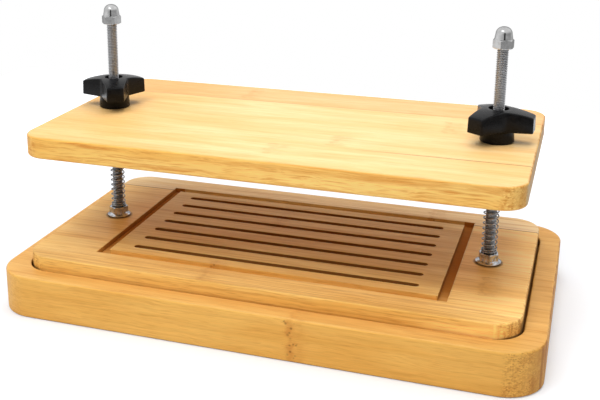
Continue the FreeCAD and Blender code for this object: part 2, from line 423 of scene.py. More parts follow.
def make_bolt(side):
    x = rod_x[side]
    low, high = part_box(side + "_bolt")
    head_top = low.z + HEAD_HEIGHT
    bm = thread(x, head_top, high.z)
    skin([ring(radius, z, x) for z, radius in hexagon_levels(low.z, head_top, True, False)], bm=bm)
    return piece_from(side + "_threaded_rod", bm, 35)


def bored(levels, bore, x, angle=0):
    """Skin the levels and close them inside with a round bore."""
    levels = levels + rounds([(levels[-1][0], bore), (levels[0][0], bore)])
    return skin([ring(radius, z, x, angle) for z, radius in levels], closed=True)


def make_flange_nut(side):
    low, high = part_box(side + "_flange_nut")
    flange = (high.x - low.x) / 2
    outline = [(low.z + height * MM, flange - inset * MM) for height, inset in FLANGE_SKIRT]
    edge_z, edge = outline[-1]
    outline += [(edge_z + FLANGE_RISE * share, edge - (flange - HEX_FLATS / 2) * share)
                for share in shares(5)]

    def at_least(radius):
        return lambda turn: max(radius, hex_radius(turn))
    levels = [(z, at_least(radius)) for z, radius in outline]
    levels += hexagon_levels(low.z, high.z, False, True)[1:]
    return piece_from(side + "_flange_nut_steel", bored(levels, NUT_BORE, rod_x[side], NUT_ANGLE[side]))


def make_acorn_nut(side):
    low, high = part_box(side + "_acorn_nut")
    hex_top = low.z + ACORN_HEX
    step_z = hex_top + ACORN_STEP
    shoulder = high.z - ACORN_CROWN_ROUND
    bore_top = high.z - ACORN_CAP
    bore = [(bore_top, ACORN_BORE_MIDDLE), (bore_top, NUT_BORE), (low.z, NUT_BORE)]
    dome = [(hex_top, ACORN_BASE), (step_z, ACORN_BASE - ACORN_STEP_DRAFT)]
    dome += [(step_z + (shoulder - step_z) * share, ACORN_BASE + (ACORN_CROWN - ACORN_BASE) * share)
             for share in shares(4)]
    dome += [(shoulder + ACORN_CROWN_ROUND * sin(turn),
              ACORN_CROWN - ACORN_CROWN_ROUND * (1 - cos(turn))) for turn in quarter(10)[1:-1]]
    flat = ACORN_CROWN - ACORN_CROWN_ROUND
    dome += [(high.z - ACORN_CROWN_RISE * (1 - k / 2), flat * (1 - k / 3)) for k in range(3)]
    levels = rounds(bore) + hexagon_levels(low.z, hex_top, True, True) + rounds(dome)
    bm = skin([ring(radius, z, rod_x[side], ACORN_ANGLE[side]) for z, radius in levels])
    return piece_from(side + "_acorn_nut_nickel", bm)


def make_washer(side):
    low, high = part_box(side + "_washer")
    outer = (high.x - low.x) / 2
    levels = rounds([(low.z, outer - WASHER_EDGE), (low.z + WASHER_EDGE, outer),
                     (high.z - WASHER_EDGE, outer), (high.z, outer - WASHER_EDGE)])
    return piece_from(side + "_washer_steel", bored(levels, CLAMP_HOLE, rod_x[side]))


def make_insert(side):
    """The bush in the knob: knurled outside, with a chamfered bore."""
    low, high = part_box(side + "_knob_insert")
    edge = INSERT_CHAMFER

    def knurl(turn):
        return INSERT_RADIUS - KNURL_DEPTH * (1 + cos(turn * KNURL_RIDGES)) / 2
    levels = [(low.z, round_at(INSERT_RADIUS - edge)), (low.z + edge, knurl),
              (high.z - edge, knurl), (high.z, round_at(INSERT_RADIUS - edge))]
    levels += rounds([(high.z, NUT_BORE + edge), (high.z - edge, NUT_BORE),
                      (low.z + edge, NUT_BORE), (low.z, NUT_BORE + edge)])
    rings = [ring(radius, z, rod_x[side], count=4 * KNURL_RIDGES) for z, radius in levels]
    return piece_from(side + "_insert_brass", skin(rings, closed=True))


# ---- springs
def spring_pitch(turn):
    """The pitch opens smoothly from the closed turns at each end."""
    from_end = min(turn - LOW_EXTRA_TURNS, SPRING_TURNS - turn)
    opening = min(max((from_end - CLOSED_TURNS) / CLOSED_TURNS, 0), 1)
    return CLOSED_PITCH + (OPEN_PITCH - CLOSED_PITCH) * opening * opening * (3 - 2 * opening)


def make_spring(side, segments=28, around=8):
    low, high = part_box(side + "_spring")
    steps = [spring_pitch((k + 0.5) / segments) for k in range(int(SPRING_TURNS * segments))]
    heights = [low.z + WIRE]
    fitted = (high.z - low.z - 2 * WIRE) / sum(steps)
    for step in steps:
        heights.append(heights[-1] + step * fitted)
    up = Vector((0, 0, 1))
    rings = []
    for k, z in enumerate(heights):
        turn = tau * k / segments
        out = Vector((cos(turn), sin(turn), 0))
        centre = Vector((rod_x[side], 0, z)) + out * SPRING_MEAN
        rings.append([centre + WIRE * (out * cos(a) + up * sin(a))
                      for a in (tau * j / around for j in range(around))])
    return piece_from(side + "_spring_wire", skin(rings), 60)


# ---- knobs
def rounded_polygon(corners, radii, steps=7):
    """Replace each corner of a polygon with an arc."""
    points = []
    count = len(corners)
    for k, (corner, radius) in enumerate(zip(corners, radii)):
        here = Vector(corner)
        before = (Vector(corners[k - 1]) - here).normalized()
        after = (Vector(corners[(k + 1) % count]) - here).normalized()
        half = before.angle(after) / 2
        reach = radius / tan(half)
        centre = here + (before + after).normalized() * (radius / sin(half))
        start, end = here + before * reach - centre, here + after * reach - centre
        sweep = start.angle_signed(end)
        for step in range(steps + 1):
            turn = -sweep * step / steps
            points.append(centre + Vector((start.x * cos(turn) - start.y * sin(turn),
                                           start.x * sin(turn) + start.y * cos(turn))))
    return points


def dense(points, longest):
    """Add points on an outline's long straight stretches."""
    result = []
    for k, point in enumerate(points):
        following = points[(k + 1) % len(points)]
        pieces = max(1, ceil((following - point).length / longest))
        result += [point.lerp(following, j / pieces) for j in range(pieces)]
    return result


def inset_outline(points, amount):
    """Move each point of an anticlockwise outline inwards."""
    moved = []
    count = len(points)
    for k, point in enumerate(points):
        along = (points[(k + 1) % count] - points[k - 1]).normalized()
        moved.append(point + Vector((-along.y, along.x)) * amount)
    return moved


def knob_outline(angle):
    corners, radii = [], []
    for arm in range(3):
        turn = radians(angle) + tau * arm / 3
        for across in (-KNOB_TIP / 2, KNOB_TIP / 2):
            corners.append((KNOB_REACH * cos(turn) - across * sin(turn),
                            KNOB_REACH * sin(turn) + across * cos(turn)))
            radii.append(KNOB_TIP_ROUND)
        corners.append((KNOB_WAIST * cos(turn + pi / 3), KNOB_WAIST * sin(turn + pi / 3)))
        radii.append(KNOB_WAIST_ROUND)
    return dense(rounded_polygon(corners, radii), KNOB_STEP)


def make_knob(side):
    """Skin the knob from its foot, over the arms and down the mouth to the insert's bore."""
    foot_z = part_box(side + "_knob")[0].z
    arms_z = foot_z + KNOB_FOOT_HEIGHT
    crown = foot_z + KNOB_HEIGHT
    mouth_floor = foot_z + INSERT_HEIGHT
    outline = knob_outline(KNOB_ANGLE[side])
    dome_radius = (KNOB_REACH ** 2 + KNOB_DOME_DROP ** 2) / (2 * KNOB_DOME_DROP)

    def dome(point):
        return crown - (dome_radius - sqrt(dome_radius ** 2 - point.length_squared))

    def round_ring(radius, z):
        return [Vector((p.x, p.y, 0)).normalized() * radius + Vector((0, 0, z)) for p in outline]

    # The foot and the neck.
    rings = [round_ring(INSERT_RADIUS + KNOB_PLAY, foot_z)]
    rings += [round_ring(KNOB_FOOT - KNOB_EDGE * (1 - sin(turn)),
                         foot_z + KNOB_EDGE * (1 - cos(turn))) for turn in quarter(4)]
    rings += [round_ring(KNOB_FOOT - inset * MM, arms_z - drop * MM) for inset, drop in KNOB_NECK]

    # The arms' lower edge, their sides and upper edge, and the dome.
    for turn in quarter(3):
        layer = inset_outline(outline, KNOB_UNDER_ROUND * (1 - sin(turn)))
        z = arms_z + KNOB_UNDER_ROUND * (1 - cos(turn))
        rings.append([Vector((p.x, p.y, z)) for p in layer])
    for turn in quarter(4):
        layer = inset_outline(outline, KNOB_DRAFT + KNOB_EDGE * (1 - cos(turn)))
        rings.append([Vector((p.x, p.y, dome(p) - KNOB_EDGE * (1 - sin(turn)))) for p in layer])
    rim = KNOB_MOUTH + KNOB_MOUTH_ROUND
    for share in shares(6)[:-1]:
        towards_rim = [p * (1 - share) + p.normalized() * rim * share for p in layer]
        rings.append([Vector((p.x, p.y, dome(p))) for p in towards_rim])

    # The mouth.
    for turn in quarter(3):
        radius = KNOB_MOUTH + KNOB_MOUTH_ROUND * (1 - sin(turn))
        rings.append(round_ring(radius, dome(Vector((radius, 0))) - KNOB_MOUTH_ROUND * (1 - cos(turn))))
    rings.append(round_ring(KNOB_MOUTH - KNOB_MOUTH_DRAFT, mouth_floor))
    rings.append(round_ring(INSERT_RADIUS + KNOB_PLAY, mouth_floor))
    axis = Vector((rod_x[side], 0, 0))
    bm = skin([[point + axis for point in one] for one in rings], closed=True)
    return piece_from(side + "_knob_plastic", bm, 40)


# ---- shader nodes
class Nodes:
    """Adds and links the nodes of one tree.

    Inputs are given by name or number, and each is another node's socket or a plain value.
    """

    def __init__(self, tree):
        self.tree = tree
        tree.nodes.clear()

    def node(self, kind, inputs=None, **settings):
        made = self.tree.nodes.new(kind)
        for key, value in settings.items():
            setattr(made, key, value)
        self.fill(made, inputs or {})
        return made

    def fill(self, node, inputs):
        for key, value in inputs.items():
            if isinstance(value, bpy.types.NodeSocket):
                self.tree.links.new(value, node.inputs[key])
            else:
                node.inputs[key].default_value = value

    def math(self, operation, *values):
        return self.node("ShaderNodeMath", dict(enumerate(values)), operation=operation).outputs[0]

    def plus(self, a, b):
        return self.math("ADD", a, b)

    def minus(self, a, b):
        return self.math("SUBTRACT", a, b)

    def times(self, first, *others):
        for other in others:
            first = self.math("MULTIPLY", first, other)
        return first

    def larger(self, a, b):
        return self.math("MAXIMUM", a, b)

    def absolute(self, a):
        return self.math("ABSOLUTE", a)

    def split(self, vector):
        return self.node("ShaderNodeSeparateXYZ", {0: vector}).outputs

    def band(self, value, low, high, to_low=0, to_high=1):
        """Map a range smoothly, and hold it at both ends."""
        inputs = {"Value": value, "From Min": low, "From Max": high, "To Min": to_low, "To Max": to_high}
        made = self.node("ShaderNodeMapRange", inputs, interpolation_type="SMOOTHSTEP", clamp=True)
        return made.outputs["Result"]

    def falling(self, value, low, high):
        return self.band(value, low, high, 1, 0)

    def inside(self, value, low, high, soft):
        """1 between two values, and fading towards them over a soft stretch."""
        return self.times(self.band(value, low, low + soft), self.falling(value, high - soft, high))


class Shader(Nodes):
    """A material with one Principled surface, and the colour that has been painted so far.

    point is in millimetres, and moves with the object.
    """

    def __init__(self, name):
        self.material = bpy.data.materials.new(name)
        self.material.use_nodes = True
        super().__init__(self.material.node_tree)
        self.surface = self.node("ShaderNodeBsdfPrincipled")
        self.output = self.node("ShaderNodeOutputMaterial", {"Surface": self.surface.outputs[0]})
        place = self.node("ShaderNodeTexCoord")
        self.point = self.vector("MULTIPLY", place.outputs["Object"], (1 / MM, 1 / MM, 1 / MM))
        self.x, self.y, self.z = self.split(self.point)
        self.nx, _, self.nz = self.split(place.outputs["Normal"])

    def lay(self, colour, *shares):
        """Lay a colour over what is there, as strongly as the shares multiplied say."""
        self.colour = self.blend(self.times(*shares), self.colour, colour)

    def tint(self, colour, share=1):
        self.colour = self.blend(share, self.colour, colour, mode="MULTIPLY")

    def vector(self, operation, a, b):
        return self.node("ShaderNodeVectorMath", {0: a, 1: b}, operation=operation).outputs[0]

    def noise(self, point, size, detail=3, roughness=0.55):
        """Noise whose grains have the given size along X, Y and Z."""
        inputs = {"Vector": self.vector("DIVIDE", point, size), "Scale": 1, "Detail": detail,
                  "Roughness": roughness}
        return self.node("ShaderNodeTexNoise", inputs, noise_dimensions="3D").outputs["Fac"]

    def cells(self, point, size):
        """Cells of the given size: the distance to the middle, and a colour for each."""
        inputs = {"Vector": self.vector("DIVIDE", point, size), "Scale": 1}
        made = self.node("ShaderNodeTexVoronoi", inputs, feature="F1", voronoi_dimensions="3D")
        return made.outputs["Distance"], made.outputs["Color"]

    def blend(self, factor, a, b, mode="MIX"):
        a, b = ((*value, 1) if isinstance(value, tuple) else value for value in (a, b))
        made = self.node("ShaderNodeMix", {"Factor": factor, 6: a, 7: b}, data_type="RGBA", blend_type=mode)
        return made.outputs[2]

    def grey(self, value):
        return self.node("ShaderNodeCombineColor", {0: value, 1: value, 2: value}).outputs[0]

    def bump(self, height, strength, distance):
        inputs = {"Height": height, "Strength": strength, "Distance": distance}
        return self.node("ShaderNodeBump", inputs).outputs["Normal"]

    def rod_distance(self):
        """Millimetres from the axis of the nearer rod."""
        off = self.minus(self.absolute(self.x), rod_x["right"] / MM)
        return self.math("SQRT", self.plus(self.times(off, off), self.times(self.y, self.y)))


def linear(*rgb):
    """Linear colour from 0-255 display values."""
    return tuple((v / 255 / 12.92) if v / 255 <= 0.04045 else ((v / 255 + 0.055) / 1.055) ** 2.4
                 for v in rgb)


def scaled(colour, factor):
    return tuple(min(1, v * factor) for v in colour)


# ---- bamboo
# Painted shade in the narrow gap between the drain board and the tray's pocket.
PAINTED_GAP_SHADE = linear(96, 54, 20)


class Bamboo(Shader):
    """Pressed bamboo with its fibres along X. Places and lengths are in millimetres.

    Each board's own class sets pale, deep, fibre and seed, and whatever differs from these values.
    """

    planks_and_light = ()  # (Y of the boundary, tint beyond it); on the drain board the tints also carry painted light
    seams = ()  # glue lines: (Y, strength at the left, strength at the right)
    culm_nodes = ()  # (low Y, high Y, X) of the band that each leaves across a strip
    end_tints_and_light = ()  # (X where a tint starts, X where it is full, tint); partly the wood's tone, partly painted light and shade
    end_bands = ()  # (low Y, high Y) of dark strips on the end faces
    fine_lines = ()  # (low Y, high Y) of strips of plainer, finely lined wood
    streak_length = 42
    wander = 7  # how far the fibres stray on their way
    top_streaks = 0.22  # how strong the streaks are on the flat faces
    side_streaks = 0.6  # and on the upright ones
    side_bands = 0.2  # broad darker strips
    side_dashes = 0.3  # vascular bundles
    # the upright faces' tint: partly their own grain's tone, partly painted light that sets them apart from
    # the lit tops
    side_tint_and_light = (1, 0.915, 0.62)
    end_tint = (1, 1, 1)
    end_strips = 12  # width of the strips that the ends show
    fleck_size = (2, 1.25, 1)
    fleck_share = 0.6
    fleck_tones = (0.7, 1.25)  # dark flecks against the fibre colour, pale ones against pale
    corner_brown = 1
    left_corners = 0.2  # how strong brown and flecks are there, against the right ones

    def __init__(self, name):
        super().__init__(name)
        self.far_x, self.far_y = self.absolute(self.x), self.absolute(self.y)
        self.facing_x, self.facing_z = self.absolute(self.nx), self.absolute(self.nz)
        self.end_face = self.band(self.facing_x, 0.55, 0.9)
        self.top_face = self.band(self.facing_z, 0.45, 0.95)
        self.follow_grain()
        self.paint_streaks()
        self.paint_bundles()
        self.paint_corners()
        self.paint_end_strips()
        self.paint_fine_lines()
        self.tint(self.plank_tint_and_light)
        self.paint_end_tints()
        self.paint_glue_lines()
        self.paint_culm_nodes()
        # Painted light: the upright faces are tinted against the brighter lit tops.
        self.tint(self.side_tint_and_light, self.falling(self.top_face, 0, 1))
        # End faces tinted; on the press board partly a painted reflection.
        self.tint(self.end_tint, self.band(self.facing_x, 0.9, 0.99))
        self.finish(self.paint_cuts())

    def side_or_top(self, side, top):
        """One value on the upright faces and another on the flat ones."""
        return self.band(self.top_face, 0, 1, side, top)

    def follow_grain(self):
        """The grain starts afresh in each plank, and wanders a little on its way."""
        self.plank_tint_and_light = (1, 1, 1)
        offset = self.seed * 91
        for boundary, tint in self.planks_and_light:
            beyond = self.band(self.y, boundary - 0.1, boundary + 0.1)
            self.plank_tint_and_light = self.blend(beyond, self.plank_tint_and_light, tint)
            offset = self.plus(self.times(beyond, 173), offset)
        stray = self.minus(self.noise(self.point, (55, 16, 12), detail=2), 0.5)
        self.shift = self.times(stray, self.wander)
        bent = {0: self.plus(self.x, offset), 1: self.plus(self.y, self.shift),
                2: self.plus(self.z, self.shift)}
        self.grain = self.node("ShaderNodeCombineXYZ", bent).outputs[0]
        self.clouds = self.noise(self.grain, (120, 15, 15), detail=2)
        self.streaks = self.noise(self.grain, (self.streak_length, 1.9, 1.5), detail=4, roughness=0.62)
        self.fine = self.noise(self.grain, (0.8 * self.streak_length, 0.5, 0.45), roughness=0.6)
        self.fibres = self.falling(self.cells(self.grain, (15, 1.3, 1.1))[0], 0.08, 0.4)

    def paint_streaks(self):
        """Clouds of deeper colour, broad strips, and dark and pale streaks."""
        self.bright = scaled(self.pale, 1.12)
        self.colour = self.blend(self.band(self.clouds, 0.32, 0.68), self.deep, self.pale)
        strip = self.noise(self.grain, (160, 5.5, 4.2), detail=1)
        self.lay(self.fibre, self.band(strip, 0.5, 0.66), self.side_or_top(self.side_bands, 0.1))
        share = self.side_or_top(self.side_streaks, self.top_streaks)
        self.lay(self.fibre, self.band(self.streaks, 0.46, 0.72), share)
        self.lay(self.bright, self.falling(self.streaks, 0.28, 0.44), share, 0.6)

    def paint_bundles(self):
        """Vascular bundles: dashes along the sides, dots on the ends."""
        self.lay(self.fibre, self.fibres, self.side_or_top(self.side_dashes, 0.05))
        dots = self.cells(self.grain, (6, 0.9, 0.9))[0]
        self.pores = self.times(self.falling(dots, 0.1, 0.36), self.end_face)
        self.lay(scaled(self.fibre, 0.6), self.pores, 0.3)

    def paint_corners(self):
        """Round corners cut the fibres at a slant: a browner wood, stippled with fibre ends."""
        corner = self.times(self.band(self.facing_x, 0.04, 0.22), self.falling(self.facing_z, 0.6, 0.9),
                            self.band(self.nx, -0.04, 0.04, self.left_corners, 1))
        browner = self.band(self.clouds, 0.35, 0.65, 0.42 * self.corner_brown, 0.1 * self.corner_brown)
        self.lay(self.fibre, corner, browner)
        fleck, fleck_colour = self.cells(self.point, self.fleck_size)
        dark, lit = self.fleck_tones
        tone = self.blend(self.band(self.split(fleck_colour)[0], 0.35, 0.65),
                          scaled(self.fibre, dark), scaled(self.pale, lit))
        self.lay(tone, self.band(fleck, 0.15, 0.6, self.fleck_share, self.fleck_share * 0.3), corner,
                 self.band(self.end_face, 0, 1, 1, 0.3))

    def paint_end_strips(self):
        """The ends show the strips that the board is pressed from, as upright bands."""
        strips = self.noise(self.point, (400, self.end_strips, 90), detail=2, roughness=0.7)
        ends_only = self.band(self.facing_x, 0.35, 0.7)
        dark = scaled(self.fibre, 0.78)
        self.lay(dark, self.band(strips, 0.48, 0.6, 0, 0.6), ends_only)
        self.lay(self.pale, self.band(strips, 0.36, 0.46, 0.45, 0), ends_only)
        for low_y, high_y in self.end_bands:
            self.lay(dark, self.inside(self.y, low_y - 0.4, high_y + 0.4, 0.8), ends_only, 0.55)

    def paint_fine_lines(self):
        for low_y, high_y in self.fine_lines:
            lined = self.inside(self.y, low_y, high_y, 2)
            lines = self.noise(self.grain, (260, 0.9, 0.9), detail=2)
            self.lay(self.fibre, self.band(lines, 0.5, 0.64, 0, 0.45), lined)
            self.lay(self.bright, self.band(lines, 0.36, 0.48, 0.5, 0), lined)

    def paint_end_tints(self):
        """Tints that come in along the board, with a cloudy boundary: partly the wood's tone, partly painted
        light and shade.
        """
        for start, full, tint in self.end_tints_and_light:
            along = self.plus(self.x, self.times(self.minus(self.clouds, 0.5), 90))
            self.tint(tint, self.band(along, start, full))

    def paint_glue_lines(self):
        glue = tuple(v * share for v, share in zip(self.fibre, (0.42, 0.3, 0.3)))
        wavy = self.plus(self.y, self.times(self.shift, 0.04))
        for seam, left_share, right_share in self.seams:
            self.lay(glue, self.falling(self.absolute(self.minus(wavy, seam)), 0.28, 0.75),
                     self.band(self.clouds, 0.3, 0.6, 0.55, 0.95),
                     self.band(self.x, 30, 130, left_share, right_share))

    def paint_culm_nodes(self):
        """A soft brown band across a strip, with pits that show best on the sides."""
        self.pits = 0
        waver = self.minus(self.noise(self.point, (9, 6, 6), detail=2), 0.5)
        waver = self.plus(self.x, self.times(waver, 12))
        speck = self.falling(self.cells(self.point, (3, 2.7, 2.7))[0], 0.2, 0.42)
        patchy = self.band(self.noise(self.point, (6, 5, 5), detail=2), 0.35, 0.65, 0.35, 1)
        for low_y, high_y, place in self.culm_nodes:
            here = self.times(self.inside(self.y, low_y, high_y, 3), patchy)
            off = self.minus(waver, place)
            away = self.absolute(off)
            halo = self.falling(self.absolute(self.minus(off, 4)), 2, 11)
            self.lay(self.fibre, halo, here, self.side_or_top(0.3, 0.24))
            self.lay(self.fibre, self.falling(away, 0.6, 3.6), here, self.side_or_top(0.5, 0.22))
            pits = self.times(speck, self.falling(away, 2.4, 4.6), here, self.side_or_top(1, 0.15))
            self.lay(scaled(self.fibre, 0.46), pits, 0.8)
            self.pits = self.larger(self.pits, pits)

    def paint_cuts(self):
        """A board's own milled faces and the shade painted in its cuts and gaps. Gives where its surface is
        torn, if anywhere.
        """
        return None

    def near_ends(self):
        """Where gap shade is painted: fully at the drain board's two ends, and less along its sides."""
        half = (drain_high.x - drain_low.x) / 2 / MM
        return self.band(self.far_x, half - 18, half - 6, 0.15, 1)

    def finish(self, torn):
        """The finest lines, the gloss and the relief."""
        self.tint(self.grey(self.times(self.band(self.fine, 0.25, 0.75, 0.93, 1.05),
                                       self.band(self.end_face, 0, 1, 1, 0.9))))
        rough = self.plus(self.band(self.streaks, 0.3, 0.7, 0.4, 0.52), self.times(self.end_face, 0.12))
        if torn is not None:
            rough = self.plus(rough, self.times(torn, 0.4))
        relief = self.plus(self.times(self.streaks, 0.5), self.times(self.fine, 0.35))
        for dent, depth in ((self.fibres, 0.25), (self.pores, 0.4), (self.pits, 0.5)):
            relief = self.minus(relief, self.times(dent, depth))
        self.fill(self.surface, {"Base Color": self.colour, "Roughness": rough, "Specular IOR Level": 0.22,
                                 "Normal": self.bump(relief, 0.35, 0.22 * MM)})


class TrayBamboo(Bamboo):
    pale, deep, fibre = linear(244, 194, 112), linear(234, 178, 94), linear(205, 134, 62)
    seed = 2
    culm_nodes = ((-118, -96, 33), (-90, -40, -120), (97, 118, -70), (-40, 30, 150))
    # Painted shade: the tray's right end turns greyer and darker as the light falls off.
    end_tints_and_light = ((110, 185, (0.92, 0.89, 0.84)),)
    end_bands = ((-99, -96.5), (-92.5, -88), (-58, -50), (-14, -3), (31, 37), (72, 86))
    streak_length = 60
    wander = 5
    top_streaks = 0.48
    side_streaks = 0.32
    side_bands = 0.1
    side_tint_and_light = (1.05, 0.98, 0.74)
    fleck_size = (1.5, 1.1, 0.9)

    def paint_cuts(self):
        """Painted shade on the pocket's walls and ledge, in the gap round the drain board, and painted
        contact shadow along the lower edge.
        """
        half_x, half_y = ((size / 2 - RIM_WIDTH) / MM + 0.4 for size in size_of(tray_low, tray_high))
        rim, ledge = tray_high.z / MM, drain_low.z / MM
        # Painted shade in the narrow gap: the pocket's walls and ledge darken round the drain board.
        shaded_gap_walls = self.times(self.falling(self.far_x, half_x - 0.2, half_x),
                             self.falling(self.far_y, half_y - 0.2, half_y),
                             self.falling(self.z, rim - 1.6, rim - 0.9),
                             self.band(self.z, ledge - 1.6, ledge - 0.6), self.near_ends())
        self.lay(PAINTED_GAP_SHADE, shaded_gap_walls, 0.85)
        # Painted contact shadow: the faces darken along the lower edge.
        self.lay(linear(96, 62, 34), self.band(self.z, 0.2, 1.3, 0.65, 0),
                 self.falling(self.facing_z, 0.9, 0.99))
        return shaded_gap_walls


class DrainBamboo(Bamboo):
    pale, deep, fibre = linear(247, 202, 121), linear(236, 183, 97), linear(190, 122, 54)
    seed = 5
    # Partly the planks' tone, partly painted light: the back plank is paler where more light reaches under
    # the press board.
    planks_and_light = ((-56, (1, 0.98, 1)), (70, (0.95, 1.07, 1.65)))
    seams = ((70, 0.95, 1),)
    culm_nodes = ((-98, -60, -40), (-60, -25, 150), (10, 62, -20), (72, 98, 95))
    # Painted light: both ends lighter, where more light reaches under the press board.
    end_tints_and_light = ((100, 165, (1.21, 1.31, 1.52)), (-95, -150, (1.04, 1.09, 1.16)))
    fine_lines = ((-98, -79),)
    streak_length = 100
    wander = 3.5
    top_streaks = 0.45
    side_streaks = 0.5
    side_dashes = 0.45
    side_tint_and_light = (1.12, 1.1, 0.95)
    end_strips = 2.4
    fleck_size = (2.6, 2.6, 40)
    fleck_share = 0.38
    fleck_tones = (1, 1.25)
    corner_brown = 0.3

    def paint_cuts(self):
        """Painted shade: in the milled faces, deeper across the fibres and in the slots, round the nuts, and
        on the ends.
        """
        top, rim = drain_high.z / MM, tray_high.z / MM
        half_x, half_y = GROOVE_LENGTH / MM / 2, GROOVE_BREADTH / MM / 2
        inner_x, inner_y = half_x - GROOVE_WIDTH / MM, half_y - GROOVE_WIDTH / MM
        inside = self.times(self.falling(self.far_x, half_x + 0.5, half_x + 1.5),
                            self.falling(self.far_y, half_y + 0.5, half_y + 1.5))
        # Painted shade under the press board: the wood inside the groove darkens back from its front strip.
        self.tint((0.86, 0.93, 1), self.times(inside, self.band(self.y, -half_y, -half_y + 30)))
        # Painted shade in the groove and slots below the top, a little stronger at the front.
        milled = self.times(self.falling(self.z, top - 0.4, top - 0.12), inside)
        self.lay(self.fibre, milled, self.band(self.y, -40, -10, 0.16, 0.1))
        # Painted shade on the groove's cross-grain strips, deepening towards the back under the press board.
        across = self.times(milled, self.band(self.far_x, inner_x - 1.5, inner_x - 0.5))
        self.lay(linear(182, 118, 44), across, self.band(self.y, -half_y - 6, -half_y + 30, 0.15, 0.95))
        flange, slot_end = FLANGE_RADIUS / MM, SLOT_LENGTH / MM / 2
        # Painted contact shadow in a ring round each flange nut.
        self.lay(linear(84, 46, 16), self.band(self.rod_distance(), flange, flange + 2.2, 0.75, 0))
        # Painted shade inside the slots.
        self.lay(linear(132, 70, 22), self.falling(self.far_x, slot_end + 0.5, slot_end + 1.5),
                 self.falling(self.far_y, inner_y - 2, inner_y - 1), milled, 0.85)

        # Painted shade on the ends, darker towards the rim, in the gap round the board.
        shaded_end_faces = self.times(self.band(self.facing_x, 0.9, 0.99), self.falling(self.z, top - 6, top - 2))
        # Painted shade in a band at the rim's level, strongest at the ends.
        low = self.times(self.falling(self.z, rim - 0.6, rim + 0.6), self.near_ends())
        self.lay(PAINTED_GAP_SHADE, self.larger(shaded_end_faces, low), 0.75)
        return across


class PressBamboo(Bamboo):
    pale, deep, fibre = linear(250, 214, 153), linear(247, 201, 133), linear(216, 144, 72)
    seed = 9
    planks_and_light = ((53, (0.98, 0.85, 0.82)),)
    seams = ((53, 0.7, 0.7), (-52, 0.12, 1))
    culm_nodes = ((-82, -54, 3), (-50, -22, 40), (6, 40, 111), (56, 90, -60))
    # Partly the wood's tone, partly painted shade: browner round the knobs' shadows.
    end_tints_and_light = ((-15, -125, (0.95, 0.87, 0.73)), (90, 150, (0.98, 0.96, 0.92)))
    top_streaks = 0.2
    side_streaks = 0.85
    side_bands = 0.45
    side_dashes = 0.5
    side_tint_and_light = (1.12, 1.05, 0.66)
    # The ends' bluish tint is partly the end grain's tone, partly a painted reflection of the pale
    # surroundings.
    end_tint = (0.78, 0.98, 1.9)
    fleck_size = (2.1, 1.7, 1.3)
    fleck_share = 0.8
    fleck_tones = (0.95, 1.05)


# ---- metal and plastic
def thread_shade(s):
    """Painted shade on a thread: dark in its roots and on its lower flanks, and darker below the press board.
    """
    root_shade = s.band(s.rod_distance(), THREAD_ROOT / MM, THREAD_CREST / MM, 0.6, 1)
    flanks = s.band(s.nz, -0.45, 0.1, 0.28, 1)
    board = press_low.z / MM
    return s.times(root_shade, flanks, s.band(s.z, board - 2, board + 2, 0.68, 1))


def metal(name, light, dark, rough, smudge, bump, edge, threaded=False):
    """Bare or plated metal, with faint stains and scratches.

    rough is the roughness of its light and dark places, smudge the size of its stains in
    millimetres, and edge the tint at grazing.
    """
    s = Shader(name)
    cloud = s.noise(s.point, (smudge, smudge, smudge), detail=4)
    speck = s.noise(s.point, (0.35, 0.35, 0.35), detail=2)
    tone = s.plus(s.times(cloud, 0.75), s.times(speck, 0.25))
    s.colour = s.blend(s.band(tone, 0.35, 0.65), dark, light)
    if threaded:
        # Painted shade in the thread's roots, on its lower flanks and below the press board.
        s.tint(s.grey(thread_shade(s)))
    smooth, dull = rough
    s.fill(s.surface, {"Base Color": s.colour, "Metallic": 1, "Specular Tint": (edge, edge, edge, 1),
                       "Roughness": s.band(tone, 0.3, 0.7, dull, smooth),
                       "Normal": s.bump(speck, bump, 0.06 * MM)})
    return s.material


def knob_plastic():
    """Black moulded plastic: glossy, with fine flow marks and dust."""
    s = Shader("knob_black")
    flow = s.noise(s.point, (7, 7, 4))
    peel = s.noise(s.point, (0.9, 0.9, 0.9), detail=2)
    dust = s.band(s.noise(s.point, (0.28, 0.28, 0.28), detail=1), 0.66, 0.78)
    s.colour = s.blend(s.band(flow, 0.3, 0.7), (0.004, 0.004, 0.0045), (0.008, 0.008, 0.009))
    s.lay((0.1, 0.1, 0.1), dust, 0.18)
    s.fill(s.surface, {"Base Color": s.colour, "Roughness": s.band(flow, 0.3, 0.7, 0.24, 0.34),
                       "Specular IOR Level": 0.12, "Normal": s.bump(peel, 0.1, 0.1 * MM)})
    return s.material


rod_steel = metal("rod_steel", (0.84, 0.84, 0.85), (0.73, 0.73, 0.74), rough=(0.37, 0.45), smudge=14,
                  bump=0.05, edge=0.2, threaded=True)
nut_steel = metal("nut_steel", (0.68, 0.69, 0.71), (0.3, 0.3, 0.31), rough=(0.14, 0.26), smudge=3,
                  bump=0.12, edge=0.5)
spring_steel = metal("spring_steel", (0.42, 0.42, 0.42), (0.2, 0.2, 0.2), rough=(0.14, 0.26),
                     smudge=3, bump=0.1, edge=0.5)
nickel = metal("nickel", (0.67, 0.67, 0.67), (0.52, 0.52, 0.52), rough=(0.05, 0.1), smudge=3,
               bump=0.02, edge=0.35)
brass = metal("insert_brass", (0.6, 0.5, 0.3), (0.42, 0.34, 0.2), rough=(0.25, 0.4), smudge=2,
              bump=0.2, edge=0.8)
black_plastic = knob_plastic()


# ---- the pieces, dressed
def dress(piece, node, body, material):
    """Let a new piece stand for a CAD node."""
    piece.data.materials.clear()
    piece.data.materials.append(material)
    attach(piece, body)
    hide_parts(node)


